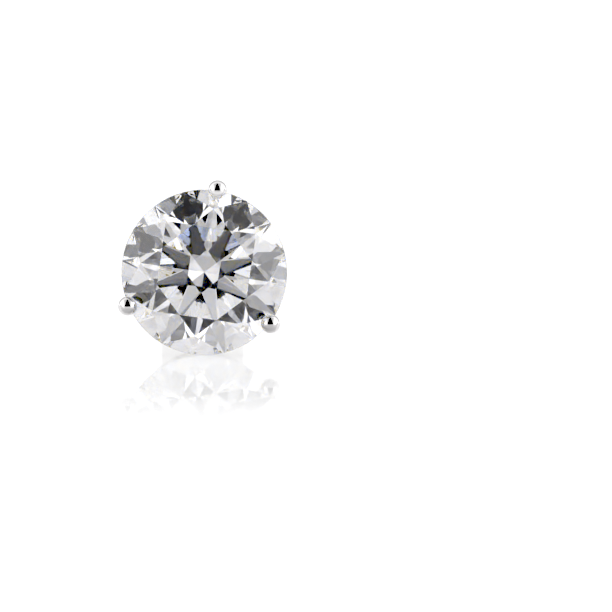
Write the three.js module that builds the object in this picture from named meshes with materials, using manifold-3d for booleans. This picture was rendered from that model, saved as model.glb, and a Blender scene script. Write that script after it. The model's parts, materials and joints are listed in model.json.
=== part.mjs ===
// A stud earring lying on a table: one round brilliant-cut stone in a three-prong martini setting,
// whose post goes through the ear, and a butterfly clutch on the post.
//
// Each piece is modelled about the post's axis. Local +Z runs out through the stone's table and
// the origin is the middle of its girdle. The whole stud is then laid down on the girdle's lowest
// edge and one wing of the clutch, with its face towards -Y. Lengths are in millimetres.
import * as THREE from "three";
import { mergeVertices } from "three/addons/utils/BufferGeometryUtils.js";
import Module from "manifold-3d";

const wasm = await Module();
wasm.setup();
const radians = THREE.MathUtils.degToRad;

// The stone
const girdleDiameter = 6.5;
const tableDiameter = 3.83; // across opposite corners
const crownAngle = radians(35.8);
const pavilionAngle = radians(40.75);
const girdleThickness = 0.27; // where it is thickest
const starShare = 0.51; // of the way from the table's edge to the girdle
const lowerHalfShare = 0.76; // of the way from the girdle to the culet
const mains = 8;
const girdleStepsPerHalf = 4; // straight steps along the girdle for each half facet
const stoneTurn = radians(14.0625); // turns one main facet up from +X, and a girdle step downwards

// The three prongs
const prongTable = [
  { name: "top", turn: radians(80.9) },
  { name: "left", turn: radians(203.5) },
  { name: "right", turn: radians(322.1) },
];
const prongWire = 0.64; // diameter
const beadDiameter = 0.75;
const beadOverlap = 0.35; // of a bead in over the stone's edge
const beadLift = 0.3; // of a bead's middle over the girdle's upper edge
const bendLength = 0.45; // of wire on either side of its bend
const seatClearance = 0.04; // between the stone and the metal at the girdle
const wireSides = 16;
const wireSteps = 18;
const beadSides = 20;

// The base and the post
const baseDiameter = 2.3;
const baseThickness = 0.4;
const baseStandOff = 1.1; // from the culet back to the base's ear side
const collarDiameter = 1.2; // of the boss in which the prongs meet
const collarHeight = 0.42;
const postDiameter = 0.8;
const postLength = 10.5;
const solderFillet = 0.15;
const grooveFromTip = 1.9;
const grooveWidth = 0.5;
const grooveDepth = 0.08;
const tipLength = 0.55;
const tipDiameter = 0.4;
const postSides = 32;

// The butterfly clutch
const earGap = 5.9; // between the base and the clutch
const clutchDiameter = 4.9;
const clutchSheet = 0.3; // thickness of the sheet that it is stamped from
const clutchClearance = 0.04; // between the hole or the scrolls and the post
const holeFlare = 0.16; // width of the flare at the hole's mouth
const rimRounding = 0.08;
const scrollRadius = 1.02; // to the middle of the rolled sheet
const scrollWidth = 3.3;
const scrollSweep = radians(285);
const clutchTurn = radians(90); // about the post, from wings out to the sides to one wing down
const clutchSides = 48;
const scrollSteps = 20;

const girdleRadius = girdleDiameter / 2;
const postRadius = postDiameter / 2;
const prongReach = girdleRadius + beadDiameter / 2 - beadOverlap;
const beadHeight = girdleThickness / 2 + beadLift;
const culetDepth = girdleThickness / 2 + girdleRadius * Math.tan(pavilionAngle);
const baseBack = -(culetDepth + baseStandOff);
const clutchFront = baseBack - earGap;

// Any closed geometry as a solid that can be joined and cut.
function solidFrom(geometry) {
  const bare = geometry.clone();
  bare.deleteAttribute("normal");
  bare.deleteAttribute("uv");
  const merged = mergeVertices(bare, 1e-5);
  const corners = merged.index.array;
  const kept = [];
  for (let i = 0; i < corners.length; i += 3) {
    const [a, b, c] = corners.slice(i, i + 3);
    if (a !== b && b !== c && c !== a) kept.push(a, b, c);
  }
  return new wasm.Manifold(
    new wasm.Mesh({
      numProp: 3,
      vertProperties: merged.attributes.position.array,
      triVerts: new Uint32Array(kept),
    }),
  );
}

function geometryFrom(solid) {
  const { vertProperties, triVerts } = solid.getMesh();
  return new THREE.BufferGeometry()
    .setAttribute("position", new THREE.BufferAttribute(vertProperties, 3))
    .setIndex(new THREE.BufferAttribute(triVerts, 1))
    .toNonIndexed();
}

// A profile of [radius, height] points turned about +Z, with a flat side facing down.
function turned(profile, sides) {
  const points = profile.map(([radius, height]) => new THREE.Vector2(radius, height));
  return new THREE.LatheGeometry(points, sides, Math.PI / sides).rotateX(Math.PI / 2);
}

// The round brilliant cut: a table, 8 stars, 8 bezels and 16 upper halves above the girdle,
// and 16 lower halves and 8 mains that meet in the culet below it.
function brilliantGeometry() {
  const mainStep = (2 * Math.PI) / mains;
  const halfStep = mainStep / 2;
  const tableRadius = tableDiameter / 2;
  const tableApothem = tableRadius * Math.cos(halfStep);
  const starRadius = tableApothem + starShare * (girdleRadius - tableApothem);
  const lowerRadius = girdleRadius * (1 - lowerHalfShare);
  const rim = girdleThickness / 2;

  // Heights above the girdle's rim of a main facet's plane, and of a half facet's plane where
  // the girdle's circle bulges out beyond the chord between two thick points.
  const onMain = (along, slope) => (girdleRadius - along) * Math.tan(slope);
  const chord = Math.cos(halfStep / 2);
  function bulge(turn, jointRadius, jointHeight) {
    const fromMiddle = (turn % halfStep) - halfStep / 2;
    const beyond = girdleRadius * (Math.cos(fromMiddle) - chord);
    return (beyond * jointHeight) / ((girdleRadius - jointRadius) * chord);
  }

  const tableHeight = rim + onMain(tableRadius, crownAngle);
  const starRise = onMain(starRadius * Math.cos(halfStep), crownAngle);
  const lowerDrop = onMain(lowerRadius * Math.cos(halfStep), pavilionAngle);
  const corner = (radius, turn, height) =>
    new THREE.Vector3(radius * Math.cos(turn), radius * Math.sin(turn), height);
  const tableCorner = (k) => corner(tableRadius, k * mainStep, tableHeight);
  const starPoint = (k) => corner(starRadius, (k + 0.5) * mainStep, rim + starRise);
  const lowerPoint = (k) => corner(lowerRadius, (k + 0.5) * mainStep, -rim - lowerDrop);
  const culet = corner(0, 0, -culetDepth);

  const girdleSteps = 2 * mains * girdleStepsPerHalf;
  const girdleTurn = (i) => (i / girdleStepsPerHalf) * halfStep;
  function girdlePoint(i, side) {
    const onHill = i % girdleStepsPerHalf === 0;
    const [radius, rise] = side > 0 ? [starRadius, starRise] : [lowerRadius, lowerDrop];
    const cut = onHill ? 0 : bulge(girdleTurn(i), radius, rise);
    return corner(girdleRadius, girdleTurn(i), side * (rim - cut));
  }
  function girdleRun(first, side) {
    const run = [];
    for (let i = 0; i <= girdleStepsPerHalf; i++) run.push(girdlePoint(first + i, side));
    return run;
  }

  const positions = [];
  function facet(...corners) {
    for (let i = 1; i < corners.length - 1; i++) {
      for (const v of [corners[0], corners[i], corners[i + 1]]) positions.push(v.x, v.y, v.z);
    }
  }

  const table = [];
  for (let k = 0; k < mains; k++) {
    const main = 2 * k * girdleStepsPerHalf;
    const between = main + girdleStepsPerHalf;
    table.push(tableCorner(k));
    facet(tableCorner(k), starPoint(k), tableCorner(k + 1));
    facet(tableCorner(k), starPoint(k - 1), girdlePoint(main, 1), starPoint(k));
    facet(culet, lowerPoint(k), girdlePoint(main, -1), lowerPoint(k - 1));
    for (const first of [main, between]) {
      facet(starPoint(k), ...girdleRun(first, 1));
      facet(lowerPoint(k), ...girdleRun(first, -1).reverse());
    }
  }
  facet(...table);
  for (let i = 0; i < girdleSteps; i++) {
    facet(girdlePoint(i, -1), girdlePoint(i + 1, -1), girdlePoint(i + 1, 1), girdlePoint(i, 1));
  }
  return new THREE.BufferGeometry()
    .setAttribute("position", new THREE.Float32BufferAttribute(positions, 3))
    .rotateZ(stoneTurn);
}

// A wire that leaves the base alongside the pavilion, bends upright beside the girdle and ends
// in a bead on the crown's edge.
function prongSolid(turn) {
  const offset = (prongWire / 2 + seatClearance) / Math.cos(pavilionAngle);
  const rootHeight = -culetDepth - offset;
  const cornerHeight = rootHeight + prongReach * Math.tan(pavilionAngle);
  const at = (radius, height) =>
    new THREE.Vector3(radius * Math.cos(turn), radius * Math.sin(turn), height);

  const path = new THREE.CurvePath();
  const bendStart = at(
    prongReach - bendLength * Math.cos(pavilionAngle),
    cornerHeight - bendLength * Math.sin(pavilionAngle),
  );
  const bendEnd = at(prongReach, cornerHeight + bendLength);
  path.add(new THREE.LineCurve3(at(0, rootHeight), bendStart));
  path.add(new THREE.QuadraticBezierCurve3(bendStart, at(prongReach, cornerHeight), bendEnd));
  path.add(new THREE.LineCurve3(bendEnd, at(prongReach, beadHeight)));

  const section = new THREE.Shape().absarc(0, 0, prongWire / 2, 0, 2 * Math.PI);
  const wire = new THREE.ExtrudeGeometry(section, {
    steps: wireSteps,
    curveSegments: wireSides / 2,
    bevelEnabled: false,
    extrudePath: path,
  });
  const bead = new THREE.SphereGeometry(beadDiameter / 2, beadSides, beadSides / 2)
    .rotateX(Math.PI / 2)
    .translate(...at(prongReach, beadHeight).toArray());
  return solidFrom(wire).add(solidFrom(bead));
}

// The base, the boss in front of it and the post behind it, turned in one.
function stemSolid() {
  const tip = baseBack - postLength;
  const groove = tip + grooveFromTip;
  const baseFront = baseBack + baseThickness;
  const bossFront = baseFront + collarHeight;
  const fillet = [];
  for (let i = 0; i <= 3; i++) {
    const turn = (i / 3) * (Math.PI / 2);
    fillet.push([
      postRadius + solderFillet * (1 - Math.cos(turn)),
      baseBack - solderFillet * (1 - Math.sin(turn)),
    ]);
  }
  return solidFrom(
    turned(
      [
        [0, tip],
        [tipDiameter / 2, tip],
        [postRadius, tip + tipLength],
        [postRadius, groove - grooveWidth / 2],
        [postRadius - grooveDepth, groove - grooveWidth / 4],
        [postRadius - grooveDepth, groove + grooveWidth / 4],
        [postRadius, groove + grooveWidth / 2],
        ...fillet,
        [baseDiameter / 2, baseBack],
        [baseDiameter / 2, baseFront],
        [collarDiameter / 2, bossFront],
        [0, bossFront],
      ],
      postSides,
    ),
  );
}

// All the metal that is cast and soldered in one, with a seat cut in each prong for the girdle.
function settingGeometry() {
  const seat = brilliantGeometry();
  const grown = (girdleRadius + seatClearance) / girdleRadius;
  seat.scale(grown, grown, grown);
  let metal = stemSolid();
  for (const { turn } of prongTable) metal = metal.add(prongSolid(turn));
  return geometryFrom(metal.subtract(solidFrom(seat)));
}

// Half of the clutch's rolled sheet, seen along its roll: it leaves the plate, turns back and in
// until it bears on the post, and ends short of the plate.
function scrollSolid(side) {
  const inner = scrollRadius - clutchSheet / 2;
  const outer = scrollRadius + clutchSheet / 2;
  const first = Math.PI / 2;
  const last = first - scrollSweep;
  const profile = new THREE.Shape();
  profile.absarc(0, 0, outer, first, last, true);
  profile.absarc(0, 0, inner, last, first, false);
  const roll = new THREE.ExtrudeGeometry(profile, {
    depth: scrollWidth,
    curveSegments: scrollSteps,
    bevelEnabled: false,
  });
  const across = postRadius + clutchClearance + outer;
  roll.rotateX(Math.PI / 2).translate(across, scrollWidth / 2, clutchFront - outer);
  if (side < 0) roll.rotateZ(Math.PI);
  return solidFrom(roll);
}

function clutchGeometry() {
  const rim = clutchDiameter / 2;
  const hole = postRadius + clutchClearance;
  const back = clutchFront - clutchSheet;
  const plate = turned(
    [
      [hole, back],
      [rim - rimRounding, back],
      [rim, back + rimRounding],
      [rim, clutchFront - rimRounding],
      [rim - rimRounding, clutchFront],
      [hole + holeFlare, clutchFront],
      [hole, clutchFront - holeFlare],
      [hole, back],
    ],
    clutchSides,
  );
  return geometryFrom(solidFrom(plate).add(scrollSolid(1)).add(scrollSolid(-1))).rotateZ(clutchTurn);
}

function piece(name, geometry, look) {
  const mesh = new THREE.Mesh(geometry, new THREE.MeshStandardMaterial(look));
  mesh.name = name;
  return mesh;
}

const whiteGold = { color: 0xd9d8d4, roughness: 0.12, metalness: 1 };
const clearStone = { color: 0xf3f5f8, roughness: 0.02, metalness: 0 };

const clutch = piece("clutch", clutchGeometry(), whiteGold);
const stud = new THREE.Group();
stud.add(piece("stone", brilliantGeometry(), clearStone));
stud.add(piece("setting", settingGeometry(), whiteGold));
stud.add(clutch);

// Laid down, it stands on the back edge of the girdle's lowest step, and the post slopes back
// from there until the clutch touches the table.
const girdleFoot = girdleRadius * Math.cos(Math.PI / (2 * mains * girdleStepsPerHalf));
const clutchCorners = clutch.geometry.attributes.position;
let lean = Math.PI / 2;
for (let i = 0; i < clutchCorners.count; i++) {
  const above = girdleFoot + clutchCorners.getY(i);
  const behind = -girdleThickness / 2 - clutchCorners.getZ(i);
  lean = Math.min(lean, Math.atan2(above, behind));
}
stud.rotation.x = Math.PI / 2 - lean;

// The origin is on the table, below the middle of the stud.
stud.updateMatrixWorld(true);
const reach = new THREE.Box3().setFromObject(stud, true);
const middle = reach.getCenter(new THREE.Vector3());
stud.position.set(-middle.x, -middle.y, -reach.min.z);

const earring = new THREE.Group();
earring.add(stud);

export default earring;
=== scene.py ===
import json
import math

import bmesh
import bpy
from mathutils import Matrix, Vector


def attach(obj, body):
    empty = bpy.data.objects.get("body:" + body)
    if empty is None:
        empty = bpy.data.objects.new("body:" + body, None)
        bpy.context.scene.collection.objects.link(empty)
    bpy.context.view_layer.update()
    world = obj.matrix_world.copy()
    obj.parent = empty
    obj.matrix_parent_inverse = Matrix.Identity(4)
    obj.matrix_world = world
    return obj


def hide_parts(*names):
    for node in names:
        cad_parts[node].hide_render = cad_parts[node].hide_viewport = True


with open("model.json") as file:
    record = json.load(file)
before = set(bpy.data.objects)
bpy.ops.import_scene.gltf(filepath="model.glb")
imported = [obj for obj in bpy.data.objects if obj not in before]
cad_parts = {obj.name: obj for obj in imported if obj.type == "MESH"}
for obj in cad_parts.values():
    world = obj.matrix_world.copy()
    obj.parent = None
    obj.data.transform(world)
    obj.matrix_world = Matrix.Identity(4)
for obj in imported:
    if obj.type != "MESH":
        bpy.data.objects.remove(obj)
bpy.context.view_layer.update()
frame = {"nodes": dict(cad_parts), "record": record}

# The stone
# A round brilliant of about one carat, cut from a single clear, colourless crystal and polished on
# every facet. Light that leaves it is split a little into warm and cool colours, which is its fire.
# The prongs hold it at its girdle, the only part that the polisher leaves slightly frosted.

stone = frame["nodes"]["stone"]

MM = 0.001
GIRDLE_RADIUS = 3.25
GIRDLE_HALF_THICKNESS = 0.135
PAVILION_ANGLE = math.radians(40.75)
CULET_DEPTH = GIRDLE_HALF_THICKNESS + GIRDLE_RADIUS * math.tan(PAVILION_ANGLE)

post_axis = Vector(next(m["axis"] for m in frame["record"]["mounts"] if m["name"] == "ear_front_face"))
culet = max((vertex.co for vertex in stone.data.vertices), key=lambda at: at.dot(post_axis)).copy()


def laid_frame():
    """Millimetres about the post's axis, with the table up, to metres with the stud laid down."""
    out = -post_axis.normalized()
    across = Vector((1, 0, 0))
    up = out.cross(across)
    middle = culet + out * CULET_DEPTH * MM
    laid = Matrix((across, up, out)).transposed() * MM
    return Matrix.Translation(middle) @ laid.to_4x4()


laid = laid_frame()


def plug(tree, socket, value):
    """Gives an input a plain value, or links it to another node's output."""
    if isinstance(value, bpy.types.NodeSocket):
        tree.links.new(value, socket)
    else:
        socket.default_value = value


def sums(tree, operation, *values):
    """The result of a Math node."""
    node = tree.nodes.new("ShaderNodeMath")
    node.operation = operation
    for socket, value in zip(node.inputs, values):
        plug(tree, socket, value)
    return node.outputs[0]


def ramp(tree, value, first, last, low, high):
    """Goes from low to high while the value goes from first to last."""
    node = tree.nodes.new("ShaderNodeMapRange")
    for socket, given in zip(node.inputs, (value, first, last, low, high)):
        plug(tree, socket, given)
    return node.outputs["Result"]


def measured(tree, operation, place, other):
    """The distance or dot product of a place or direction and a plain one."""
    node = tree.nodes.new("ShaderNodeVectorMath")
    node.operation = operation
    plug(tree, node.inputs[0], place)
    node.inputs[1].default_value = other
    return node.outputs["Value"]


def in_millimetres(tree, back=Matrix()):
    """The place on a piece in millimetres, turned and moved back by a matrix."""
    node = tree.nodes.new("ShaderNodeMapping")
    plug(tree, node.inputs["Vector"], tree.nodes.new("ShaderNodeTexCoord").outputs["Object"])
    node.inputs["Location"].default_value = back.translation
    node.inputs["Rotation"].default_value = back.to_3x3().normalized().to_euler()
    node.inputs["Scale"].default_value = (1 / MM, 1 / MM, 1 / MM)
    return node.outputs["Vector"]


def patches(tree, place, scale, detail, roughness=0.5):
    """Cloudy patches, about a millimetre wide at a scale of one."""
    node = tree.nodes.new("ShaderNodeTexNoise")
    plug(tree, node.inputs["Vector"], place)
    node.inputs["Scale"].default_value = scale
    node.inputs["Detail"].default_value = detail
    node.inputs["Roughness"].default_value = roughness
    return node.outputs["Fac"]


CRYSTAL_IOR = 2.417
WARM_IOR = 2.408
COOL_IOR = 2.442
WARM_LIGHT = (0.72, 0.58, 0.2)
COOL_LIGHT = (0.28, 0.42, 0.8)
FULLY_MIRRORED = 0.999
FROSTED_FROM = 3.205
FROSTED_TO = 3.225
FROSTED_ROUGHNESS = 0.22
HAZE_FROM = 0.55
HAZE_TO = 0.8
HAZE_ROUGHNESS = 0.004


def crystal_material():
    """Clear crystal, hazed very faintly in places, with a frosted girdle and some fire."""
    material = bpy.data.materials.new("clear_crystal")
    material.use_nodes = True
    tree = material.node_tree
    nodes = tree.nodes
    link = tree.links.new
    nodes.clear()

    place = in_millimetres(tree, laid.inverted())
    flat = nodes.new("ShaderNodeVectorMath")
    flat.operation = "MULTIPLY"
    flat.inputs[1].default_value = (1, 1, 0)
    link(place, flat.inputs[0])
    from_axis = measured(tree, "DISTANCE", flat.outputs["Vector"], (0, 0, 0))
    frosted = ramp(tree, from_axis, FROSTED_FROM, FROSTED_TO, 0, FROSTED_ROUGHNESS)
    hazed = ramp(tree, patches(tree, place, scale=1.3, detail=3), HAZE_FROM, HAZE_TO, 0, HAZE_ROUGHNESS)
    roughness = sums(tree, "MAXIMUM", hazed, frosted)

    def bending(colour, ior):
        """Glass of one colour that bends light by one index of refraction."""
        glass = nodes.new("ShaderNodeBsdfGlass")
        glass.inputs["Color"].default_value = (*colour, 1)
        glass.inputs["IOR"].default_value = ior
        link(roughness, glass.inputs["Roughness"])
        return glass.outputs[0]

    split = nodes.new("ShaderNodeAddShader")
    link(bending(WARM_LIGHT, WARM_IOR), split.inputs[0])
    link(bending(COOL_LIGHT, COOL_IOR), split.inputs[1])
    mirrored = nodes.new("ShaderNodeFresnel")
    mirrored.inputs["IOR"].default_value = CRYSTAL_IOR
    gets_out = sums(tree, "LESS_THAN", mirrored.outputs["Fac"], FULLY_MIRRORED)
    from_inside = nodes.new("ShaderNodeNewGeometry").outputs["Backfacing"]
    crystal = nodes.new("ShaderNodeMixShader")
    link(sums(tree, "MULTIPLY", gets_out, from_inside), crystal.inputs["Fac"])
    link(bending((1, 1, 1), CRYSTAL_IOR), crystal.inputs[1])
    link(split.outputs[0], crystal.inputs[2])
    link(crystal.outputs[0], nodes.new("ShaderNodeOutputMaterial").inputs["Surface"])
    return material


stone.data.materials.clear()
stone.data.materials.append(crystal_material())

# The prongs
# Three round wires of white gold rise alongside the pavilion, bend upright beside the girdle and
# end in melted ball tips. A notch cut in each of them holds the stone's edge.

PRONG_TURNS = (math.radians(80.9), math.radians(203.5), math.radians(322.1))
WIRE_DIAMETER = 0.64
WIRE_SIDES = 48
BEAD_DIAMETER = 0.75
BEAD_OVERLAP = 0.35
BEAD_LIFT = 0.3
BEAD_HEIGHT = GIRDLE_HALF_THICKNESS + BEAD_LIFT
NECK_SOFTNESS = 0.1
SEAT_CLEARANCE = 0.04
BEND_RADIUS = 1.0
BEND_STEPS = 24
PRONG_REACH = GIRDLE_RADIUS + BEAD_DIAMETER / 2 - BEAD_OVERLAP

PALE_PLATING = (0.87, 0.86, 0.85)
WORN_PLATING = (0.8, 0.79, 0.775)
HANDLED_FROM = 0.35
HANDLED_TO = 0.75
POLISHED_ROUGHNESS = 0.035
HANDLED_ROUGHNESS = 0.13
HAIRLINE_DEPTH = 0.01
HAIRLINE_STRENGTH = 0.04


def tinted(tree, share, low, high):
    """A colour between two others, by a share from 0 to 1."""
    node = tree.nodes.new("ShaderNodeMix")
    node.data_type = "RGBA"
    plug(tree, node.inputs[0], share)
    node.inputs[6].default_value = (*low, 1)
    node.inputs[7].default_value = (*high, 1)
    return node.outputs[2]


def white_gold_material():
    """Rhodium-plated white gold with a mirror polish, hazed a little by handling."""
    material = bpy.data.materials.new("polished_white_gold")
    material.use_nodes = True
    tree = material.node_tree
    link = tree.links.new
    metal = tree.nodes["Principled BSDF"]
    metal.inputs["Metallic"].default_value = 1
    place = in_millimetres(tree)

    plating = patches(tree, place, scale=0.7, detail=2)
    link(tinted(tree, plating, WORN_PLATING, PALE_PLATING), metal.inputs["Base Color"])

    handled = patches(tree, place, scale=2.6, detail=6, roughness=0.65)
    haze = ramp(tree, handled, HANDLED_FROM, HANDLED_TO, POLISHED_ROUGHNESS, HANDLED_ROUGHNESS)
    link(haze, metal.inputs["Roughness"])

    relief = tree.nodes.new("ShaderNodeBump")
    relief.inputs["Strength"].default_value = HAIRLINE_STRENGTH
    relief.inputs["Distance"].default_value = HAIRLINE_DEPTH * MM
    link(patches(tree, place, scale=9, detail=4), relief.inputs["Height"])
    link(relief.outputs["Normal"], metal.inputs["Normal"])
    return material


white_gold = white_gold_material()


def prong_path(turn):
    """The middle line of a prong's wire: its root in the boss, its bend and its tip."""
    offset = (WIRE_DIAMETER / 2 + SEAT_CLEARANCE) / math.cos(PAVILION_ANGLE)
    root = -CULET_DEPTH - offset
    bend = root + PRONG_REACH * math.tan(PAVILION_ANGLE)
    line = bpy.data.curves.new("prong_path", "CURVE")
    line.dimensions = "3D"
    spline = line.splines.new("POLY")
    spline.points.add(2)
    stations = ((0, root), (PRONG_REACH, bend), (PRONG_REACH, BEAD_HEIGHT + BEAD_DIAMETER / 2))
    for point, (radius, height) in zip(spline.points, stations):
        point.co = (radius * math.cos(turn), radius * math.sin(turn), height, 1)
    return line


def metal_tree(name, lines, sizes, result):
    """A new geometry tree: lines, named sizes and a metal go in, and a mesh comes out."""
    tree = bpy.data.node_groups.new(name, "GeometryNodeTree")
    new_socket = tree.interface.new_socket
    new_socket(lines, in_out="INPUT", socket_type="NodeSocketGeometry")
    for size, value in sizes.items():
        new_socket(size, in_out="INPUT", socket_type="NodeSocketFloat").default_value = value
    new_socket("Metal", in_out="INPUT", socket_type="NodeSocketMaterial")
    new_socket(result, in_out="OUTPUT", socket_type="NodeSocketGeometry")
    return tree, tree.nodes.new("NodeGroupInput").outputs


def end_tree(tree, mesh, metal):
    """Ends a tree in a real mesh of the given metal."""
    real = tree.nodes.new("GeometryNodeRealizeInstances")
    tree.links.new(mesh, real.inputs["Geometry"])
    clad = tree.nodes.new("GeometryNodeSetMaterial")
    tree.links.new(real.outputs["Geometry"], clad.inputs["Geometry"])
    tree.links.new(metal, clad.inputs["Material"])
    tree.links.new(clad.outputs["Geometry"], tree.nodes.new("NodeGroupOutput").inputs[0])


def between(tree, share, low, high):
    """A value between two others, by a share from 0 to 1."""
    node = tree.nodes.new("ShaderNodeMix")
    plug(tree, node.inputs[0], share)
    plug(tree, node.inputs[2], low)
    plug(tree, node.inputs[3], high)
    return node.outputs[0]


def prong_tree():
    """Rounds the bend of a path, then wraps it in wire that swells into a ball at its end."""
    sizes = {
        "Wire Diameter": WIRE_DIAMETER,
        "Bead Diameter": BEAD_DIAMETER,
        "Bend Radius": BEND_RADIUS,
        "Neck Softness": NECK_SOFTNESS,
    }
    tree, given = metal_tree("ball_tipped_wire", "Path", sizes, "Wire")
    nodes = tree.nodes
    link = tree.links.new
    stations = 160
    wire_share = 0.85
    merge_within = 0.0005

    bent = nodes.new("GeometryNodeFilletCurve")
    bent.mode = "POLY"
    bent.inputs["Count"].default_value = BEND_STEPS
    link(given["Path"], bent.inputs["Curve"])
    link(given["Bend Radius"], bent.inputs["Radius"])
    even = nodes.new("GeometryNodeResampleCurve")
    even.inputs["Count"].default_value = stations
    link(bent.outputs["Curve"], even.inputs["Curve"])

    order = nodes.new("GeometryNodeCurveOfPoint").outputs["Index in Curve"]
    length = nodes.new("GeometryNodeSplineLength").outputs["Length"]
    share = sums(tree, "DIVIDE", order, stations - 1)
    bead_radius = sums(tree, "MULTIPLY", given["Bead Diameter"], 0.5)
    wire_radius = sums(tree, "MULTIPLY", given["Wire Diameter"], 0.5)
    to_bead = sums(tree, "SUBTRACT", length, bead_radius)
    along_wire = sums(tree, "MULTIPLY", sums(tree, "DIVIDE", share, wire_share), to_bead)
    past_wire = sums(tree, "SUBTRACT", share, wire_share)
    climb = sums(tree, "MULTIPLY", past_wire, math.pi / 2 / (1 - wire_share))
    climb = sums(tree, "MINIMUM", sums(tree, "MAXIMUM", climb, 0), math.pi / 2)
    risen = sums(tree, "MULTIPLY", bead_radius, sums(tree, "SINE", climb))
    over_bead = sums(tree, "ADD", to_bead, risen)
    on_dome = sums(tree, "GREATER_THAN", share, wire_share)
    at = between(tree, on_dome, along_wire, over_bead)

    from_bead = sums(tree, "SUBTRACT", to_bead, at)
    bead_squared = sums(tree, "MULTIPLY", bead_radius, bead_radius)
    from_squared = sums(tree, "MULTIPLY", from_bead, from_bead)
    ball = sums(tree, "SQRT", sums(tree, "MAXIMUM", sums(tree, "SUBTRACT", bead_squared, from_squared), 0))
    neck = sums(tree, "SMOOTH_MAX", wire_radius, ball, given["Neck Softness"])
    neck = sums(tree, "MINIMUM", neck, bead_radius)
    dome = sums(tree, "MULTIPLY", bead_radius, sums(tree, "COSINE", climb))
    girth = between(tree, on_dome, neck, dome)

    spot = nodes.new("GeometryNodeSampleCurve")
    spot.mode = "LENGTH"
    link(bent.outputs["Curve"], spot.inputs["Curves"])
    link(at, spot.inputs["Length"])
    placed = nodes.new("GeometryNodeSetPosition")
    link(even.outputs["Curve"], placed.inputs["Geometry"])
    link(spot.outputs["Position"], placed.inputs["Position"])

    ring = nodes.new("GeometryNodeCurvePrimitiveCircle")
    ring.inputs["Resolution"].default_value = WIRE_SIDES
    ring.inputs["Radius"].default_value = 1
    wire = nodes.new("GeometryNodeCurveToMesh")
    wire.inputs["Fill Caps"].default_value = True
    link(placed.outputs["Geometry"], wire.inputs["Curve"])
    link(ring.outputs["Curve"], wire.inputs["Profile Curve"])
    link(girth, wire.inputs["Scale"])
    closed = nodes.new("GeometryNodeMergeByDistance")
    closed.inputs["Distance"].default_value = merge_within
    link(wire.outputs["Mesh"], closed.inputs["Geometry"])
    end_tree(tree, closed.outputs["Geometry"], given["Metal"])
    return tree


def shaped(name, lines, tree):
    """The plain mesh that a geometry tree makes of lines, in white gold."""
    carrier = bpy.data.objects.new(name + "_carrier", lines)
    bpy.context.scene.collection.objects.link(carrier)
    modifier = carrier.modifiers.new("shape", "NODES")
    modifier.node_group = tree
    metal = next(item for item in tree.interface.items_tree if item.name == "Metal")
    modifier[metal.identifier] = white_gold
    bpy.context.view_layer.update()
    ready = carrier.evaluated_get(bpy.context.evaluated_depsgraph_get())
    solid = bpy.data.meshes.new_from_object(ready)
    solid.name = name
    carrier.modifiers.remove(modifier)
    bpy.data.objects.remove(carrier)
    return solid


wire_shape = prong_tree()
wires = [shaped("prong_wire", prong_path(turn), wire_shape) for turn in PRONG_TURNS]

# The boss, ear disc and post
# A small boss gathers the roots of the prongs on a disc that lies against the ear. The post is
# soldered to the back of the disc, and has a groove near its rounded tip that stops the clutch.

EAR_DISC_DIAMETER = 2.3
EAR_DISC_THICKNESS = 0.4
EAR_DISC_STAND_OFF = 1.1
EAR_DISC_ROUNDING = 0.09
BOSS_DIAMETER = 1.2
BOSS_HEIGHT = 0.42
BOSS_FILLET = 0.26
BOSS_DRAFT = 0.02
BOSS_ROUNDING = 0.12
POST_RADIUS = 0.4
POST_LENGTH = 10.5
POST_FILLET = 0.15
TIP_LENGTH = 0.62
TIP_FLAT_RADIUS = 0.08
TIP_NOSE_ROUNDING = 0.12
TIP_SHOULDER_ROUNDING = 0.5
GROOVE_FROM_TIP = 1.9
GROOVE_WIDTH = 0.5
GROOVE_DEPTH = 0.08
STEM_SIDES = 96
SHARP_FROM = math.radians(32)
ear_side = -(CULET_DEPTH + EAR_DISC_STAND_OFF)


def arc(middle, radius, first, last, steps=8):
    """Points (radius, height) along a round corner, with the angles in degrees."""
    points = []
    for i in range(steps + 1):
        turn = math.radians(first + (last - first) * i / steps)
        points.append((middle[0] + radius * math.cos(turn), middle[1] + radius * math.sin(turn)))
    return points


def turned(name, profile, sides, ring=False):
    """A profile of (radius, height) points turned about the post's axis."""
    shape = bmesh.new()
    rows = []
    for radius, height in profile:
        if radius == 0:
            rows.append([shape.verts.new((0, 0, height))] * sides)
            continue
        turns = [2 * math.pi * i / sides for i in range(sides)]
        rows.append([shape.verts.new((radius * math.cos(t), radius * math.sin(t), height)) for t in turns])
    for low, high in zip(rows, rows[1:] + (rows[:1] if ring else [])):
        for i in range(sides):
            j = (i + 1) % sides
            corners = list(dict.fromkeys((low[i], low[j], high[j], high[i])))
            shape.faces.new(corners)
    bmesh.ops.recalc_face_normals(shape, faces=shape.faces)
    solid = bpy.data.meshes.new(name)
    shape.to_mesh(solid)
    shape.free()
    return solid


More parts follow.
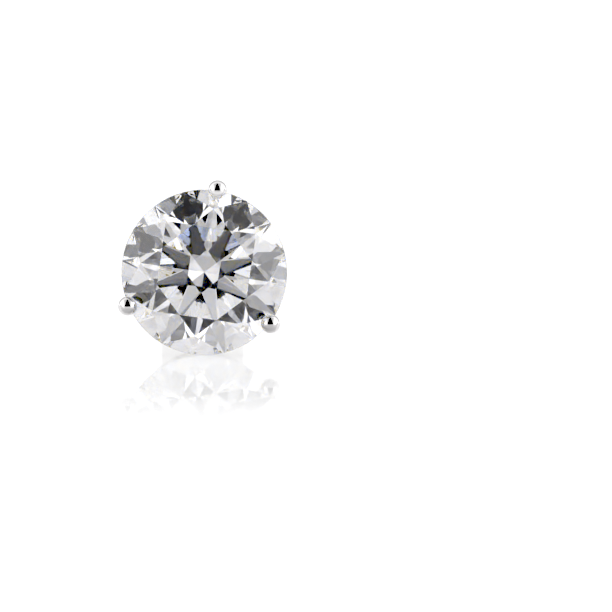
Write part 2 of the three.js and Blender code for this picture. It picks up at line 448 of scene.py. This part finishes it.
def stem_profile():
    """The outline of the post, from its tip through its groove, the ear disc and the boss."""
    tip = ear_side - POST_LENGTH
    groove_radius = (GROOVE_WIDTH**2 / 4 + GROOVE_DEPTH**2) / (2 * GROOVE_DEPTH)
    groove_turn = math.degrees(math.asin(GROOVE_WIDTH / 2 / groove_radius))
    groove = (POST_RADIUS - GROOVE_DEPTH + groove_radius, tip + GROOVE_FROM_TIP)
    disc = EAR_DISC_DIAMETER / 2 - EAR_DISC_ROUNDING
    disc_front = ear_side + EAR_DISC_THICKNESS
    boss = BOSS_DIAMETER / 2
    boss_top = disc_front + BOSS_HEIGHT
    return [
        (0, tip),
        *arc((TIP_FLAT_RADIUS, tip + TIP_NOSE_ROUNDING), TIP_NOSE_ROUNDING, -90, -20),
        *arc((POST_RADIUS - TIP_SHOULDER_ROUNDING, tip + TIP_LENGTH), TIP_SHOULDER_ROUNDING, -20, 0),
        *arc(groove, groove_radius, 180 + groove_turn, 180 - groove_turn, 12),
        *arc((POST_RADIUS + POST_FILLET, ear_side - POST_FILLET), POST_FILLET, 180, 90),
        *arc((disc, ear_side + EAR_DISC_ROUNDING), EAR_DISC_ROUNDING, -90, 0),
        *arc((disc, disc_front - EAR_DISC_ROUNDING), EAR_DISC_ROUNDING, 0, 75),
        *arc((boss + BOSS_DRAFT + BOSS_FILLET, disc_front + BOSS_FILLET), BOSS_FILLET, 255, 190),
        *arc((boss - BOSS_ROUNDING, boss_top - BOSS_ROUNDING), BOSS_ROUNDING, 20, 90),
        (0, boss_top),
    ]


def seat_cutter():
    """The stone grown by the clearance that its seat leaves round it."""
    grown = (GIRDLE_RADIUS + SEAT_CLEARANCE) / GIRDLE_RADIUS
    merge_within = 0.0001 * MM
    shape = bmesh.new()
    shape.from_mesh(stone.data)
    bmesh.ops.remove_doubles(shape, verts=shape.verts, dist=merge_within)
    bmesh.ops.transform(shape, matrix=Matrix.Scale(grown, 4) @ laid.inverted(), verts=shape.verts)
    bmesh.ops.recalc_face_normals(shape, faces=shape.faces)
    cutter = bpy.data.meshes.new("seat_cutter")
    shape.to_mesh(cutter)
    shape.free()
    old_normals = cutter.attributes.get("custom_normal")
    if old_normals:
        cutter.attributes.remove(old_normals)
    return cutter


def joined(first, second, operation):
    """One solid of two, by union or difference."""
    base = bpy.data.objects.new("base", first)
    tool = bpy.data.objects.new("tool", second)
    for each in (base, tool):
        bpy.context.scene.collection.objects.link(each)
    cut = base.modifiers.new("cut", "BOOLEAN")
    cut.operation = operation
    cut.solver = "MANIFOLD"
    cut.object = tool
    bpy.context.view_layer.update()
    solid = bpy.data.meshes.new_from_object(base.evaluated_get(bpy.context.evaluated_depsgraph_get()))
    for each in (base, tool):
        bpy.data.objects.remove(each)
    return solid


def finished(name, solid):
    """A piece of white gold laid in its place on the table, smooth but for its real edges."""
    solid.transform(laid)
    solid.materials.clear()
    solid.materials.append(white_gold)
    solid.polygons.foreach_set("material_index", [0] * len(solid.polygons))
    solid.shade_smooth()
    solid.set_sharp_from_angle(angle=SHARP_FROM)
    piece = bpy.data.objects.new(name, solid)
    bpy.context.scene.collection.objects.link(piece)
    return piece


soldered = turned("stem", stem_profile(), STEM_SIDES)
for wire in wires:
    soldered = joined(soldered, wire, "UNION")
setting = finished("setting_in_white_gold", joined(soldered, seat_cutter(), "DIFFERENCE"))
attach(setting, "root")
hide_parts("setting")

# The butterfly clutch
# Stamped from one strip of sprung white gold: a disc with a flared hole for the post, and two
# wings rolled back into scrolls whose ends bear on the post and grip it.

EAR_GAP = 5.9
CLUTCH_DIAMETER = 4.9
CLUTCH_SHEET = 0.3
CLUTCH_CLEARANCE = 0.04
CLUTCH_ROUNDING = 0.08
CLUTCH_SIDES = 128
HOLE_FLARE = 0.16
HOLE_ROUNDING = 0.05
SCROLL_RADIUS = 1.02
SCROLL_WIDTH = 3.3
SCROLL_SWEEP = 285
SCROLL_STEPS = 64
SCROLL_ROUNDING = 0.07
SCROLL_ROUNDING_STEPS = 5
CLUTCH_TURN = math.radians(90)
clutch_front = ear_side - EAR_GAP


def clutch_profile():
    """The outline of the clutch's disc, round its rim and back through its hole."""
    back = clutch_front - CLUTCH_SHEET
    rim = CLUTCH_DIAMETER / 2 - CLUTCH_ROUNDING
    hole = POST_RADIUS + CLUTCH_CLEARANCE
    return [
        *arc((rim, back + CLUTCH_ROUNDING), CLUTCH_ROUNDING, -90, 0, 6),
        *arc((rim, clutch_front - CLUTCH_ROUNDING), CLUTCH_ROUNDING, 0, 90, 6),
        *arc((hole + HOLE_FLARE, clutch_front - HOLE_FLARE), HOLE_FLARE, 90, 180),
        *arc((hole + HOLE_ROUNDING, back + HOLE_ROUNDING), HOLE_ROUNDING, 180, 270, 4),
    ]


def scroll_paths():
    """The middle line of each rolled wing, seen along its roll, in X and Y."""
    lines = bpy.data.curves.new("scroll_paths", "CURVE")
    lines.dimensions = "3D"
    across = POST_RADIUS + CLUTCH_CLEARANCE + SCROLL_RADIUS + CLUTCH_SHEET / 2
    behind = clutch_front - SCROLL_RADIUS - CLUTCH_SHEET / 2
    for side in (1, -1):
        spline = lines.splines.new("POLY")
        spline.points.add(SCROLL_STEPS)
        for i, point in enumerate(spline.points):
            turn = math.radians(90 - SCROLL_SWEEP * i / SCROLL_STEPS)
            x = side * (across + SCROLL_RADIUS * math.cos(turn))
            point.co = (x, behind + SCROLL_RADIUS * math.sin(turn), 0, 1)
    return lines


def scroll_tree():
    """Wraps each path in a strip of sheet with rounded edges."""
    sizes = {
        "Sheet Thickness": CLUTCH_SHEET,
        "Strip Width": SCROLL_WIDTH,
        "Edge Rounding": SCROLL_ROUNDING,
    }
    tree, given = metal_tree("rolled_wings", "Paths", sizes, "Wings")
    nodes = tree.nodes
    link = tree.links.new
    upright = nodes.new("GeometryNodeSetCurveNormal")
    upright.mode = "Z_UP"
    link(given["Paths"], upright.inputs["Curve"])
    section = nodes.new("GeometryNodeCurvePrimitiveQuadrilateral")
    link(given["Sheet Thickness"], section.inputs["Width"])
    link(given["Strip Width"], section.inputs["Height"])
    rounded = nodes.new("GeometryNodeFilletCurve")
    rounded.mode = "POLY"
    rounded.inputs["Count"].default_value = SCROLL_ROUNDING_STEPS
    link(section.outputs["Curve"], rounded.inputs["Curve"])
    link(given["Edge Rounding"], rounded.inputs["Radius"])
    strip = nodes.new("GeometryNodeCurveToMesh")
    strip.inputs["Fill Caps"].default_value = True
    link(upright.outputs["Curve"], strip.inputs["Curve"])
    link(rounded.outputs["Curve"], strip.inputs["Profile Curve"])
    end_tree(tree, strip.outputs["Mesh"], given["Metal"])
    return tree


wings = shaped("wings", scroll_paths(), scroll_tree())
wings.transform(Matrix.Rotation(CLUTCH_TURN, 4, "Z") @ Matrix.Rotation(math.pi / 2, 4, "X"))
clutch_disc = turned("clutch_disc", clutch_profile(), CLUTCH_SIDES, ring=True)
clutch = finished("butterfly_clutch", joined(clutch_disc, wings, "UNION"))
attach(clutch, "root")
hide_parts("clutch")

# The table top
# A sheet of glossy white acrylic. For all but the camera it carries painted light: it glows in two
# strips, one well in front of the stone and one from under the stone backward, with painted shade in
# the unlit band between them, just in front of the stud. The camera gets it as pure white, with only
# a faint mirror image of the stud.

FLOOR_REACH = 1.5
ACRYLIC_IOR = 1.45
ACRYLIC_ROUGHNESS = 0.01
ACRYLIC_WHITE = (0.86, 0.86, 0.865)
ACRYLIC_TO_CAMERA = (0.2, 0.2, 0.2)
# Where the sheet's painted glow starts and ends, in metres along the sheet; between the strips lies
# painted shade.
FRONT_PAINTED_GLOW_FROM = -0.0105
FRONT_PAINTED_GLOW_TO = -0.0125
REAR_PAINTED_GLOW_FROM = -0.0075
REAR_PAINTED_GLOW_TO = -0.0065
PAINTED_GLOW_STRENGTH = 0.28
GLOW_TO_CAMERA = 0.86
UNDER_THE_STONE = (0, -0.0066, 0)
IMAGE_STRENGTH = 0.58
IMAGE_FADES_FROM = 0.018
IMAGE_FADES_AT = 0.041


def acrylic_material():
    """White acrylic that glows evenly for the camera and, for all else, in two strips of painted light
    with painted shade between them; it mirrors the stud, for the camera only faintly.
    """
    material = bpy.data.materials.new("white_acrylic")
    material.use_nodes = True
    tree = material.node_tree
    nodes = tree.nodes
    link = tree.links.new
    nodes.clear()
    place = nodes.new("ShaderNodeTexCoord").outputs["Object"]
    seen = nodes.new("ShaderNodeLightPath").outputs["Is Camera Ray"]

    body = nodes.new("ShaderNodeBsdfDiffuse")
    link(tinted(tree, seen, ACRYLIC_WHITE, ACRYLIC_TO_CAMERA), body.inputs["Color"])
    backward = measured(tree, "DOT_PRODUCT", place, (0, 1, 0))
    # Painted light: the sheet glows in a strip well in front of the stone and in one from under it
    # backward, and the unlit band between them is painted shade.
    front_painted_glow = ramp(tree, backward, FRONT_PAINTED_GLOW_FROM, FRONT_PAINTED_GLOW_TO, 0, PAINTED_GLOW_STRENGTH)
    rear_painted_glow = ramp(tree, backward, REAR_PAINTED_GLOW_FROM, REAR_PAINTED_GLOW_TO, 0, PAINTED_GLOW_STRENGTH)
    glow = between(tree, seen, sums(tree, "MAXIMUM", front_painted_glow, rear_painted_glow), GLOW_TO_CAMERA)
    lit = nodes.new("ShaderNodeEmission")
    link(glow, lit.inputs["Strength"])
    glowing = nodes.new("ShaderNodeAddShader")
    link(body.outputs[0], glowing.inputs[0])
    link(lit.outputs[0], glowing.inputs[1])

    away = measured(tree, "DISTANCE", place, UNDER_THE_STONE)
    image = ramp(tree, away, IMAGE_FADES_FROM, IMAGE_FADES_AT, IMAGE_STRENGTH, 0)
    sheen = nodes.new("ShaderNodeFresnel")
    sheen.inputs["IOR"].default_value = ACRYLIC_IOR
    share = sums(tree, "MULTIPLY", sheen.outputs["Fac"], between(tree, seen, 1, image))
    gloss = nodes.new("ShaderNodeBsdfGlossy")
    gloss.inputs["Roughness"].default_value = ACRYLIC_ROUGHNESS
    both = nodes.new("ShaderNodeMixShader")
    link(share, both.inputs["Fac"])
    link(glowing.outputs[0], both.inputs[1])
    link(gloss.outputs[0], both.inputs[2])
    link(both.outputs[0], nodes.new("ShaderNodeOutputMaterial").inputs["Surface"])
    return material


floor_corners = [(FLOOR_REACH * x, FLOOR_REACH * y, 0) for x, y in ((-1, -1), (1, -1), (1, 1), (-1, 1))]
floor_mesh = bpy.data.meshes.new("white_acrylic")
floor_mesh.from_pydata(floor_corners, [], [(0, 1, 2, 3)])
floor_mesh.materials.append(acrylic_material())
floor = bpy.data.objects.new("floor", floor_mesh)
bpy.context.scene.collection.objects.link(floor)

# The camera
# A long lens, almost level with the stud and almost square to the stone's table.

CAMERA_DISTANCE = 0.3
CAMERA_RIGHT = math.radians(-0.4)
CAMERA_UP = math.radians(0.7)
NEAREST_SEEN = 0.001
FARTHEST_SEEN = 10
SENSOR_WIDTH = 36
PHOTO_SIDE = 612
PIXELS_PER_MM = 25.5
GIRDLE_MIDDLE_PIXEL = (204.3, 272.3)
middle = laid.translation.copy()
sight = laid.to_3x3().normalized() @ Vector(
    (
        math.sin(CAMERA_RIGHT) * math.cos(CAMERA_UP),
        math.sin(CAMERA_UP),
        math.cos(CAMERA_RIGHT) * math.cos(CAMERA_UP),
    )
)
to_right = Vector((0, 0, 1)).cross(sight).normalized()
to_top = sight.cross(to_right)
aim = (
    middle
    + to_right * (PHOTO_SIDE / 2 - GIRDLE_MIDDLE_PIXEL[0]) / PIXELS_PER_MM * MM
    - to_top * (PHOTO_SIDE / 2 - GIRDLE_MIDDLE_PIXEL[1]) / PIXELS_PER_MM * MM
)
lens = bpy.data.cameras.new("long_lens")
lens.sensor_width = SENSOR_WIDTH
lens.lens = SENSOR_WIDTH * CAMERA_DISTANCE / (PHOTO_SIDE / PIXELS_PER_MM * MM)
lens.clip_start = NEAREST_SEEN
lens.clip_end = FARTHEST_SEEN
camera = bpy.data.objects.new("camera", lens)
bpy.context.scene.collection.objects.link(camera)
camera.location = middle + sight * CAMERA_DISTANCE
camera.rotation_euler = (camera.location - aim).to_track_quat("Z", "Y").to_euler()
bpy.context.scene.camera = camera

# The light
# A light tent of white cloth, brightest at its two sides, where the lamps stand, each with a dimmer
# middle that keeps polished faces from being lost in white. It is open in front, and the ball tips
# and the facets that face that way show the dark room beyond it.

# The overhead cloth, back wall and opening are placed in degrees up from straight in front of the
# stud, with 180 straight behind it. The lamps are placed by how far a direction points sideways,
# and their reach by how far it points to the front, with 1 as fully.
CLOTH_TINT = (0.985, 0.98, 1)
CLOTH = 0.58
OVERHEAD_CLOTH = 0.9
OVERHEAD_STARTS = (85, 95)
OVERHEAD_ENDS = (122, 130)
BACK_WALL = 1.0
BACK_WALL_STARTS = (168, 171)
LEFT_LAMP = 1.4
RIGHT_LAMP = 1.7
LAMP_STARTS = (0.45, 0.85)
LAMP_MIDDLE = 0.72
LAMP_MIDDLE_STARTS = (0.965, 0.985)
LAMPS_REACH_BACK = (-0.6, -0.3)
DARK_ROOM = 0.005
OPENING_HALF_WIDTH = 36
OPENING_NARROWS_FROM = 11
OPENING_PEAK = 103
OPENING_LEAN_BELOW = -1
OPENING_LEAN_ABOVE = -3
OPENING_SOFT_EDGE = 7
WHITE_TO_CAMERA = 1.4


def light_tent():
    """The tent's brightness in each direction, as the world's strength."""
    world = bpy.data.worlds.new("light_tent")
    bpy.context.scene.world = world
    world.use_nodes = True
    tree = world.node_tree
    looking = tree.nodes.new("ShaderNodeTexCoord").outputs["Generated"]

    def along(direction):
        """How far the view points in a direction, from -1 to 1."""
        return measured(tree, "DOT_PRODUCT", looking, direction)

    forward = Vector((sight.x, sight.y, 0)).normalized()
    side = Vector((0, 0, 1)).cross(forward)
    ahead = along(forward)
    climb = sums(tree, "MULTIPLY", sums(tree, "ARCTAN2", along((0, 0, 1)), ahead), math.degrees(1))
    swerve = sums(tree, "MULTIPLY", sums(tree, "ARCSINE", along(side)), math.degrees(1))

    cloth = ramp(tree, climb, *OVERHEAD_STARTS, CLOTH, OVERHEAD_CLOTH)
    cloth = ramp(tree, climb, *OVERHEAD_ENDS, cloth, CLOTH)
    for outward, lamp in ((-side, LEFT_LAMP), (side, RIGHT_LAMP)):
        lit = ramp(tree, ahead, *LAMPS_REACH_BACK, cloth, lamp)
        lit = ramp(tree, along(outward), *LAMP_MIDDLE_STARTS, lit, LAMP_MIDDLE)
        cloth = ramp(tree, along(outward), *LAMP_STARTS, cloth, lit)
    cloth = ramp(tree, climb, *BACK_WALL_STARTS, cloth, BACK_WALL)

    half_width = ramp(tree, climb, OPENING_NARROWS_FROM, OPENING_PEAK, OPENING_HALF_WIDTH, 0)
    lean = ramp(tree, climb, 0, OPENING_PEAK, OPENING_LEAN_BELOW, OPENING_LEAN_ABOVE)
    off_middle = sums(tree, "ABSOLUTE", sums(tree, "SUBTRACT", swerve, lean))
    inside = sums(tree, "SUBTRACT", half_width, off_middle)
    glow = ramp(tree, inside, 0, OPENING_SOFT_EDGE, cloth, DARK_ROOM)

    seen = tree.nodes.new("ShaderNodeLightPath").outputs["Is Camera Ray"]
    glow = sums(tree, "MAXIMUM", glow, sums(tree, "MULTIPLY", seen, WHITE_TO_CAMERA))
    background = tree.nodes["Background"]
    tree.links.new(glow, background.inputs["Strength"])
    background.inputs["Color"].default_value = (*CLOTH_TINT, 1)


light_tent()

# The picture
# Plain colours, with the darkest and the brightest tones cut off as in a product photograph, and
# enough bounces for the light to find its way out of the stone.

BLACK_LEVEL = 0.075
WHITE_LEVEL = 0.87

scene = bpy.context.scene
scene.view_settings.view_transform = "Standard"
scene.view_settings.use_curve_mapping = True
curves = scene.view_settings.curve_mapping
curves.black_level = (BLACK_LEVEL, BLACK_LEVEL, BLACK_LEVEL)
curves.white_level = (WHITE_LEVEL, WHITE_LEVEL, WHITE_LEVEL)
curves.update()
scene.cycles.use_denoising = True
scene.cycles.max_bounces = 32
scene.cycles.transmission_bounces = 28
scene.cycles.glossy_bounces = 12
